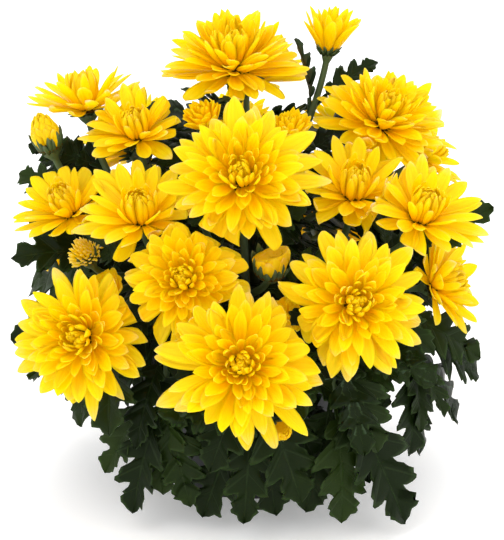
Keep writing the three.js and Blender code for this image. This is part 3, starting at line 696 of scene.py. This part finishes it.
def build_cuttings():
    """Each cutting as one piece: stem, shoots, bracts and leaves."""
    lines = shoot_lines()
    shells = {cutting: Shell() for cutting in CUTTINGS}
    blades = []
    for cutting, shell in shells.items():
        shares = np.linspace(0, 1, 14)
        radii = np.full(14, STEM["root"]) * (1 - 0.12 * shares)
        points, faces = tube(stem_points(cutting), shares, radii, sides=16)
        shell.add(points, faces, 1, (0.2, 0, 0.5))
    for index, (name, (cutting, curve, bloom)) in enumerate(lines.items()):
        rng = np.random.default_rng(SEEDS["shoot"] + index)
        shares, radii = shoot_radii(curve, bloom)
        points, faces = tube(curve, shares, radii)
        flat = points.shape[:2]
        tone = [np.broadcast_to(shares[:, None], flat), np.zeros(flat), np.full(flat, rng.random())]
        shells[cutting].add(points, faces, 1, np.stack(tone, -1))
        if bloom is not None:
            add_bracts(shells[cutting], bloom, rng)
        for share, end in LEAVES.get(name, []) + DRAPED.get(name, []):
            points, faces, tones = leaf(bezier(curve, share)[0], end, rng)
            shells[cutting].add(points, faces, 0, tones)
            blades.append(points[BLADE_FROM:])
    fill_leaves(shells, lines, blades)
    for cutting, shell in shells.items():
        ob = shell.object("plant_" + cutting, [MATERIALS["leaf"], MATERIALS["stem"], MATERIALS["bract"]])
        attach(ob, "root")
        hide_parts("cutting_" + cutting)


def add_bracts(shell, bloom, rng):
    """The green scales under a bloom, in two rows that rise with its lowest petals."""
    n = BRACTS
    lowest_rise = FORMS[bloom.form]["petals"][0][2]
    closed, shut = lowest_rise > 40, lowest_rise > 55
    inner = (np.arange(n) % 2).astype(float)
    angle = circle(n) + rng.normal(0, 0.05, n)
    rise = np.radians(np.clip(lowest_rise - 4, -12, 60) + 4 * inner + rng.normal(0, 3, n))
    curl = np.radians(np.full(n, 44.0 if shut else 12.0))
    length = bloom.scale * (BRACT_LENGTH + 2 * inner) * (1 + rng.normal(0, 0.08, n))
    width, cup = bloom.scale * np.full(n, BRACT_WIDTH), np.full(n, 0.9)
    root_radius = bloom.seat * ((1.05 if closed else 0.75) + 0.1 * inner)
    root_height = -1.6 * bloom.scale + 0.9 * inner
    numbers = (angle, rise, curl, length, width, cup, root_radius, root_height)
    points = petals(BRACT, numbers, rng, 0.3, BRACT_THICK).reshape(-1, 3)
    faces = repeated(BRACT.faces, n, BRACT.size)
    shell.add(points @ bloom.turn.T + bloom.at, faces, 2, petal_tones(BRACT, inner, rng))


class Space:
    """A grid of small cells over the plant that remembers which are taken."""

    def __init__(self, low, high, cell):
        self.low, self.cell = np.array(low, float), cell
        self.taken = np.zeros(np.ceil((np.array(high) - low) / cell).astype(int) + 3, bool)

    def cells(self, points):
        return ((np.asarray(points).reshape(-1, 3) - self.low) / self.cell).astype(int) + 1

    def take(self, points, grow=False):
        cells = np.unique(self.cells(points), axis=0)
        for shift in np.ndindex(3, 3, 3) if grow else [(1, 1, 1)]:
            self.taken[tuple((cells + np.array(shift) - 1).T)] = True

    def holds(self, points):
        return self.taken[tuple(self.cells(points).T)].any()


def before_a_bloom(points):
    """Whether points lie over a bloom's face or, in the front half, hide it from the front."""
    for bloom in blooms:
        own = (points - bloom.at) @ bloom.turn
        over = (own[:, 2] > 0) & (own[:, 2] < CLEAR["height"])
        if (over & (np.hypot(own[:, 0], own[:, 1]) < bloom.radius * CLEAR["over"])).any():
            return True
        ahead = (points - bloom.at) @ FRONT
        beside = np.linalg.norm(points - bloom.at - ahead[:, None] * FRONT, axis=1)
        hides = (ahead > 0) & (beside < bloom.radius * CLEAR["before"])
        if bloom.at[1] < CLEAR["front_half"] and hides.any():
            return True
    return False


def filling_leaf(base, attempt, lifts, rng):
    """A leaf at a random slant from one place on a shoot, shorter with every attempt."""
    out = math.degrees(math.atan2(base[0], -base[1]))
    bearing = out + rng.normal(0, SPREAD)
    lift = rng.uniform(*lifts)
    size = LONGEST - SHORTER * attempt + rng.uniform(-VARY, VARY)
    return leaf(base, base + facing(bearing, lift) * size, rng, COARSE_TOP, COARSE_UNDER)


def fits(blade, low, high, space):
    """Whether a blade is inside the plant's box and clear of pot, leaves and blooms."""
    around = np.hypot(blade[:, 0], blade[:, 1])
    if (blade < low + 1).any() or (blade > high - [1, 1, TOP_ROOM]).any() or blade[:, 2].min() < 3:
        return False
    if ((around < POT["rim"] + 3) & (blade[:, 2] < POT["height"] + 2)).any():
        return False
    return not (space.holds(blade) or before_a_bloom(blade))


def fill_leaves(shells, lines, blades):
    """More leaves along every shoot, wherever they are clear of what is there."""
    low, high = np.array(cad_box[0]) * 1000, np.array(cad_box[1]) * 1000
    space = Space(low - 20, high + 20, CELL)
    for points in BLOOM_POINTS + blades:
        space.take(points)
    for _, curve, _ in lines.values():
        space.take(bezier(curve, np.linspace(0, 1, 60)), grow=True)
    for index, (cutting, curve, bloom) in enumerate(lines.values()):
        rng = np.random.default_rng(SEEDS["filling"] + index)
        spacing, first, last, lifts = FILLING["leafy" if bloom is None else "flowering"]
        for share in np.arange(first, last, spacing / bezier_length(curve)):
            base = bezier(curve, share)[0]
            for attempt in range(ATTEMPTS):
                points, faces, tones = filling_leaf(base, attempt, lifts, rng)
                blade = points[BLADE_FROM:].reshape(-1, 3)
                if fits(blade, low, high, space):
                    shells[cutting].add(points, faces, 0, tones)
                    space.take(blade)
                    break


# ---------- pot and soil
def pot_piece():
    """The nursery pot, turned in one, with round drain holes in its base."""
    h, rim, base, wall = POT["height"], POT["rim"], POT["base"], POT["wall"]
    body = rim - POT["rim_step"]
    low = h - POT["rim_height"]
    # From the middle of the base out, up the outside, over the rim and down the inside.
    profile = [
        (0.5, 0), (base - 1.2, 0), (base - 0.3, 0.4), (base, 1.4), (base + 0.6, 4), (body - 1.1, low - 0.6),
        (body - 0.8, low), (rim - 1.2, low + 0.3), (rim - 0.7, low + 0.9), (rim - 0.2, h - 1.6),
        (rim - 0.3, h - 0.5), (rim - 1.0, h), (body - wall + 0.5, h), (body - wall, h - 0.6),
        (body - wall - 0.6, low - 4), (base - wall, wall + 1), (base - wall - 1, wall), (0.5, wall),
    ]
    shell = Shell()
    shell.add(*turned(profile, 120))
    ob = shell.object("nursery_pot", [MATERIALS["pot"]])
    ring, ring_faces = turned([(DRAINS["radius"], -3), (DRAINS["radius"], wall + 3)], 24)
    for a in circle(DRAINS["count"]):
        cutter = Shell()
        place = DRAINS["from_middle"] * np.array([math.cos(a), math.sin(a), 0])
        cutter.add(ring + place, ring_faces)
        tool = cutter.object("drain_cutter", [])
        cut = ob.modifiers.new("drain", "BOOLEAN")
        cut.object, cut.operation, cut.solver = tool, "DIFFERENCE", "EXACT"
        solid = bpy.data.meshes.new_from_object(ob.evaluated_get(bpy.context.evaluated_depsgraph_get()))
        ob.modifiers.clear()
        old, ob.data = ob.data, solid
        bpy.data.meshes.remove(old)
        bpy.data.objects.remove(tool)
    ob.data.set_sharp_from_angle(angle=math.radians(40))
    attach(ob, "root")
    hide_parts("pot")


def soil_piece():
    """The potting mix: a low mound with soft bumps, strewn with lumps."""
    rng = np.random.default_rng(SEEDS["soil"])
    wall = POT["wall"]
    widens = POT["rim"] - POT["rim_step"] - wall - POT["base"] + wall
    rim = POT["base"] - wall + widens * (SOIL_TOP - wall) / (POT["height"] - wall) - MIX["gap"]
    rings, around = 44, 120
    share = np.linspace(0.01, 1, rings)
    a = circle(around)
    r = rim * share[:, None] * np.ones(around)
    x, y = r * np.cos(a), r * np.sin(a)
    z = SOIL_TOP + SOIL_MOUND * (1 - share[:, None] ** 2) * np.ones(around)
    for _ in range(MIX["bumps"]):
        angle, far = rng.random() * ANY_ANGLE, rim * math.sqrt(rng.random())
        wide, tall = rng.uniform(1.2, 4.5), rng.uniform(-0.6, 1.1)
        apart = (x - far * math.cos(angle)) ** 2 + (y - far * math.sin(angle)) ** 2
        z = z + tall * np.exp(-apart / wide**2)
    top = np.stack([x, y, z], -1)
    floor_z = np.full(around, SOIL_TOP - MIX["depth"])
    low = np.stack([(rim - 2) * np.cos(a), (rim - 2) * np.sin(a), floor_z], -1)[None]
    shell = Shell()
    shell.add(np.concatenate([top, low])[::-1], loop_faces(rings + 1, around))
    half_lump, _ = dome(1, 1, 3, 6)
    lump = np.concatenate([half_lump[::-1] * [1, 1, -0.8], half_lump[1:]])
    lump_faces = loop_faces(len(lump), 6)
    for _ in range(MIX["lumps"]):
        angle, far = rng.random() * ANY_ANGLE, (rim - 2) * math.sqrt(rng.random())
        size = rng.uniform(0.5, 1.9) * rng.uniform(0.6, 1)
        shape = lump * rng.uniform(0.7, 1.2, 3) * size * (1 + rng.normal(0, 0.14, lump.shape[:2]))[..., None]
        spin, _ = np.linalg.qr(rng.normal(0, 1, (3, 3)))
        spin = spin if np.linalg.det(spin) > 0 else -spin
        high = SOIL_TOP + SOIL_MOUND * (1 - (far / rim) ** 2) + size * 0.35
        place = [far * math.cos(angle), far * math.sin(angle), high]
        shell.add(shape.reshape(-1, 3) @ spin + place, lump_faces, 0, (rng.random(), 0, 0))
    ob = shell.object("potting_mix", [MATERIALS["soil"]])
    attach(ob, "root")
    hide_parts("soil")


# ---------- materials
class Nodes:
    """Short calls for building one material's nodes."""

    def __init__(self, name):
        self.material = bpy.data.materials.new(name)
        self.material.use_nodes = True
        self.tree = self.material.node_tree
        self.shader = self.tree.nodes["Principled BSDF"]

    def feed(self, socket, value):
        """Links a socket to another node's output, or sets its value."""
        if isinstance(value, bpy.types.NodeSocket):
            self.tree.links.new(value, socket)
        else:
            socket.default_value = value

    def new(self, kind, inputs=(), **settings):
        node = self.tree.nodes.new("ShaderNode" + kind)
        for key, value in settings.items():
            setattr(node, key, value)
        for key, value in dict(inputs).items():
            self.feed(node.inputs[key], value)
        return node

    def math(self, operation, a, b=0.0):
        return self.new("Math", {0: a, 1: b}, operation=operation).outputs[0]

    def mix(self, share, a, b):
        node = self.new("Mix", {0: share}, data_type="RGBA")
        for key, value in ((6, a), (7, b)):
            self.feed(node.inputs[key], value if isinstance(value, bpy.types.NodeSocket) else (*value, 1))
        return node.outputs[2]

    def ramp(self, value, stops):
        node = self.new("ValToRGB", {0: value})
        points = node.color_ramp.elements
        while len(points) < len(stops):
            points.new(0.5)
        for element, (at, colour) in zip(points, stops):
            element.position = at
            element.color = (*colour, 1)
        return node.outputs[0]

    def weigh(self, a, b, share):
        """The share of a and the rest of b."""
        return self.math("ADD", self.math("MULTIPLY", a, share), self.math("MULTIPLY", b, 1 - share))

    def spread(self, value, low, high, to_low=0.0, to_high=1.0):
        inputs = {0: value, 1: low, 2: high, 3: to_low, 4: to_high}
        return self.new("MapRange", inputs).outputs[0]

    def tone(self):
        vector = self.new("Attribute", attribute_name="tone").outputs["Vector"]
        return self.new("SeparateXYZ", {0: vector}).outputs

    def noise(self, scale, detail=4.0, rough=0.55, stretch=(1, 1, 1), vector=None):
        place = vector or self.new("TexCoord").outputs["Object"]
        place = self.new("Mapping", {"Vector": place, "Scale": stretch}).outputs[0]
        inputs = {"Vector": place, "Scale": scale, "Detail": detail, "Roughness": rough}
        return self.new("TexNoise", inputs).outputs[0]

    def bump(self, height, distance, strength=1.0):
        node = self.new("Bump", {"Height": height, "Distance": distance, "Strength": strength})
        self.tree.links.new(node.outputs[0], self.shader.inputs["Normal"])

    def set(self, **sockets):
        """Sets the shader's own sockets, named with _ for spaces, and returns the material."""
        for key, value in sockets.items():
            self.feed(self.shader.inputs[key.replace("_", " ")], value)
        return self.material


def petal_material():
    n = Nodes("petal")
    along, age, mark = n.tone()[:3]
    draw = n.math("DIVIDE", n.math("FLOOR", mark), float(DRAWS))
    place = n.new("CombineXYZ", {0: n.math("FRACT", mark), 1: along, 2: draw}).outputs[0]
    streak = n.noise(1.0, 3.0, vector=place, stretch=(13.0, 1.6, 90.0))
    patch = n.noise(38.0, 2.0)
    shade = n.math("ADD", along, n.math("MULTIPLY", n.math("SUBTRACT", draw, 0.5), 0.16))
    shade = n.math("SUBTRACT", shade, n.math("MULTIPLY", age, 0.26))
    shade = n.math("ADD", shade, n.math("MULTIPLY", n.math("SUBTRACT", patch, 0.5), 0.35))
    colour = n.ramp(shade, [
        (0.0, (0.88, 0.40, 0.0)), (0.22, (0.93, 0.52, 0.0)), (0.5, (0.94, 0.58, 0.0)),
        (0.82, (0.94, 0.59, 0.006)), (1.0, (0.94, 0.61, 0.12)),
    ])
    colour = n.mix(n.spread(streak, 0.45, 0.68, 0.0, 0.6), colour, (0.93, 0.46, 0.0))
    # Painted shade: the innermost petals turn dark brown towards their roots, deep in the bloom's centre.
    painted_root_shade = n.math("MULTIPLY", n.spread(age, 0.72, 1.0), n.spread(along, 0.75, 0.15))
    colour = n.mix(n.math("MULTIPLY", painted_root_shade, 0.75), colour, (0.42, 0.20, 0.0))
    n.bump(streak, 0.0006, 0.5)
    # Emission: a painted glow on every petal, which lifts its shade as light shining through thin petals
    # would.
    return n.set(Base_Color=colour, Roughness=n.spread(patch, 0.3, 0.7, 0.42, 0.58), Subsurface_Weight=0.6,
                 Subsurface_Radius=(0.005, 0.0036, 0.0004), Subsurface_Scale=1.0, Specular_IOR_Level=0.12,
                 Emission_Color=(1.0, 0.66, 0.0, 1.0), Emission_Strength=0.10)


# The dome in each bloom's centre: dark brown, painted shade that shows in the gaps between the innermost
# petals.
def painted_centre_shade_material():
    n = Nodes("disc")
    patch = n.noise(700.0, 3.0)
    colour = n.mix(n.spread(patch, 0.35, 0.7), (0.045, 0.020, 0.002), (0.16, 0.085, 0.006))
    n.bump(patch, 0.0004, 0.6)
    return n.set(Base_Color=colour, Roughness=n.spread(patch, 0.3, 0.7, 0.6, 0.8), Specular_IOR_Level=0.1)


def leaf_material():
    n = Nodes("leaf")
    along, across, draw = n.tone()[:3]
    edge = n.math("ABSOLUTE", across)
    rib = n.spread(edge, 0.0, 0.075, 1.0, 0.0)
    veins = rib
    for place in LEAF_VEINS:
        near = n.math("ABSOLUTE", n.math("SUBTRACT", along, place / len(LEAF_EDGE)))
        veins = n.math("MAXIMUM", veins, n.spread(near, 0.0, 0.012, 0.8, 0.0))
    fine = n.noise(900.0, 5.0, 0.6)
    patch = n.noise(60.0, 3.0)
    green = n.ramp(n.weigh(draw, patch, 0.6), [
        (0.1, (0.003, 0.008, 0.0004)), (0.5, (0.006, 0.014, 0.001)), (0.9, (0.019, 0.036, 0.004)),
    ])
    green = n.mix(n.math("MULTIPLY", veins, 0.25), green, (0.045, 0.075, 0.026))
    # Painted sheen: the top side of each leaf is lighter along its edge.
    rim = n.math("MULTIPLY", n.spread(edge, 0.8, 0.98), n.spread(edge, 1.04, 1.0))
    green = n.mix(n.math("MULTIPLY", rim, 0.5), green, (0.040, 0.070, 0.020))
    underside = n.spread(edge, 1.05, 1.1)
    green = n.mix(n.math("MULTIPLY", underside, 0.55), green, (0.05, 0.085, 0.045))
    height = n.math("SUBTRACT", n.math("MULTIPLY", fine, 0.5), n.math("MULTIPLY", veins, 0.8))
    n.bump(height, 0.0006, 0.5)
    return n.set(Base_Color=green, Roughness=n.spread(patch, 0.3, 0.7, 0.36, 0.6), Specular_IOR_Level=0.10,
                 Subsurface_Weight=0.03, Subsurface_Radius=(0.001, 0.002, 0.0005), Subsurface_Scale=1.0)


def shoot_material(name, coarse, fine, depth, stops):
    """The green of stems and bracts, from their root to their tip."""
    n = Nodes(name)
    patch = n.noise(*coarse)
    colour = n.ramp(n.weigh(n.tone()[0], patch, 0.7), stops)
    n.bump(n.noise(fine, 3.0), depth, 0.5)
    return n.set(Base_Color=colour, Roughness=n.spread(patch, 0.3, 0.7, 0.45, 0.62), Specular_IOR_Level=0.4)


def stem_material():
    stops = [(0.05, (0.030, 0.036, 0.014)), (0.4, (0.035, 0.060, 0.018)), (0.9, (0.070, 0.115, 0.040))]
    return shoot_material("stem", (120.0, 4.0), 700.0, 0.0004, stops)


def bract_material():
    stops = [(0.1, (0.030, 0.060, 0.018)), (0.6, (0.050, 0.095, 0.028)), (0.95, (0.130, 0.150, 0.060))]
    return shoot_material("bract", (200.0, 3.0), 900.0, 0.0003, stops)


def soil_material():
    n = Nodes("potting_mix")
    draw = n.tone()[0]
    patch = n.noise(300.0, 6.0, 0.65)
    colour = n.ramp(n.weigh(patch, draw, 0.7), [
        (0.2, (0.006, 0.004, 0.003)), (0.5, (0.020, 0.012, 0.007)), (0.8, (0.060, 0.036, 0.020)),
    ])
    n.bump(n.noise(1400.0, 6.0, 0.7), 0.0008, 0.8)
    return n.set(Base_Color=colour, Roughness=n.spread(patch, 0.3, 0.7, 0.8, 0.98), Specular_IOR_Level=0.25)


def pot_material():
    n = Nodes("nursery_plastic")
    patch = n.noise(45.0, 5.0, 0.6)
    dust = n.noise(160.0, 6.0, 0.7)
    colour = n.mix(n.spread(patch, 0.35, 0.7), (0.0135, 0.0145, 0.0165), (0.024, 0.025, 0.027))
    colour = n.mix(n.spread(dust, 0.58, 0.78, 0.0, 0.35), colour, (0.07, 0.06, 0.05))
    n.bump(n.noise(2200.0, 3.0), 0.0002, 0.35)
    return n.set(Base_Color=colour, Roughness=n.spread(patch, 0.3, 0.7, 0.42, 0.56), Specular_IOR_Level=0.3)


def floor_material():
    n = Nodes("floor")
    patch = n.noise(3.0, 2.0)
    colour = n.mix(patch, (0.93, 0.93, 0.93), (0.95, 0.95, 0.95))
    return n.set(Base_Color=colour, Roughness=0.65, Specular_IOR_Level=0.2,
                 Emission_Color=(1.0, 1.0, 1.0, 1.0), Emission_Strength=0.2)


MATERIALS = {
    "petal": petal_material(), "disc": painted_centre_shade_material(), "leaf": leaf_material(), "stem": stem_material(),
    "bract": bract_material(), "soil": soil_material(), "pot": pot_material(),
}

for number, each in enumerate(blooms):
    bloom_piece(each, number)
build_cuttings()
pot_piece()
soil_piece()

# ---------- floor, light and camera
FLOOR = 6.0
floor_mesh = bpy.data.meshes.new("floor")
corners = [(-FLOOR, -FLOOR, 0), (FLOOR, -FLOOR, 0), (FLOOR, FLOOR, 0), (-FLOOR, FLOOR, 0)]
floor_mesh.from_pydata(corners, [], [(0, 1, 2, 3)])
floor_mesh.materials.append(floor_material())
floor = placed("floor", floor_mesh)

WORLD_STRENGTH = 1.2
scene = bpy.context.scene
world = bpy.data.worlds.new("studio")
scene.world = world
world.use_nodes = True
background = world.node_tree.nodes["Background"]
background.inputs["Color"].default_value = (1, 1, 1, 1)
background.inputs["Strength"].default_value = WORLD_STRENGTH
scene.view_settings.view_transform = "Standard"


def soft_light(name, place, aim, watts):
    data = bpy.data.lights.new(name, "AREA")
    data.shape, data.size, data.energy = "DISK", LIGHT_SIZE, watts
    ob = placed(name, data)
    ob.location = place
    ob.rotation_euler = (Vector(aim) - Vector(place)).to_track_quat("-Z", "Y").to_euler()


LIGHT_SIZE = 0.9
soft_light("key", (-0.55, -0.95, 1.15), (0, 0, 0.13), 5)
soft_light("fill", (0.9, -0.8, 0.7), (0, 0, 0.12), 3)
soft_light("rear", (0.1, 1.1, 1.1), (0, 0, 0.15), 5)

ELEVATION = math.radians(18)
DISTANCE = 1.1
METRES_PER_PIXEL = 0.53e-3
LONG_SIDE = 540
SHIFT_RIGHT, SHIFT_DOWN = 2, 8
AIM = Vector((0, 0, 0.118))
back = Vector((0, -math.cos(ELEVATION), math.sin(ELEVATION)))
camera_data = bpy.data.cameras.new("camera")
camera = placed("camera", camera_data)
scene.camera = camera
camera.location = AIM + back * DISTANCE
camera.rotation_mode = "QUATERNION"
camera.rotation_quaternion = (-back).to_track_quat("-Z", "Y")
camera_data.lens = camera_data.sensor_width * DISTANCE / (METRES_PER_PIXEL * LONG_SIDE)
camera_data.shift_x = SHIFT_RIGHT / LONG_SIDE
camera_data.shift_y = -SHIFT_DOWN / LONG_SIDE
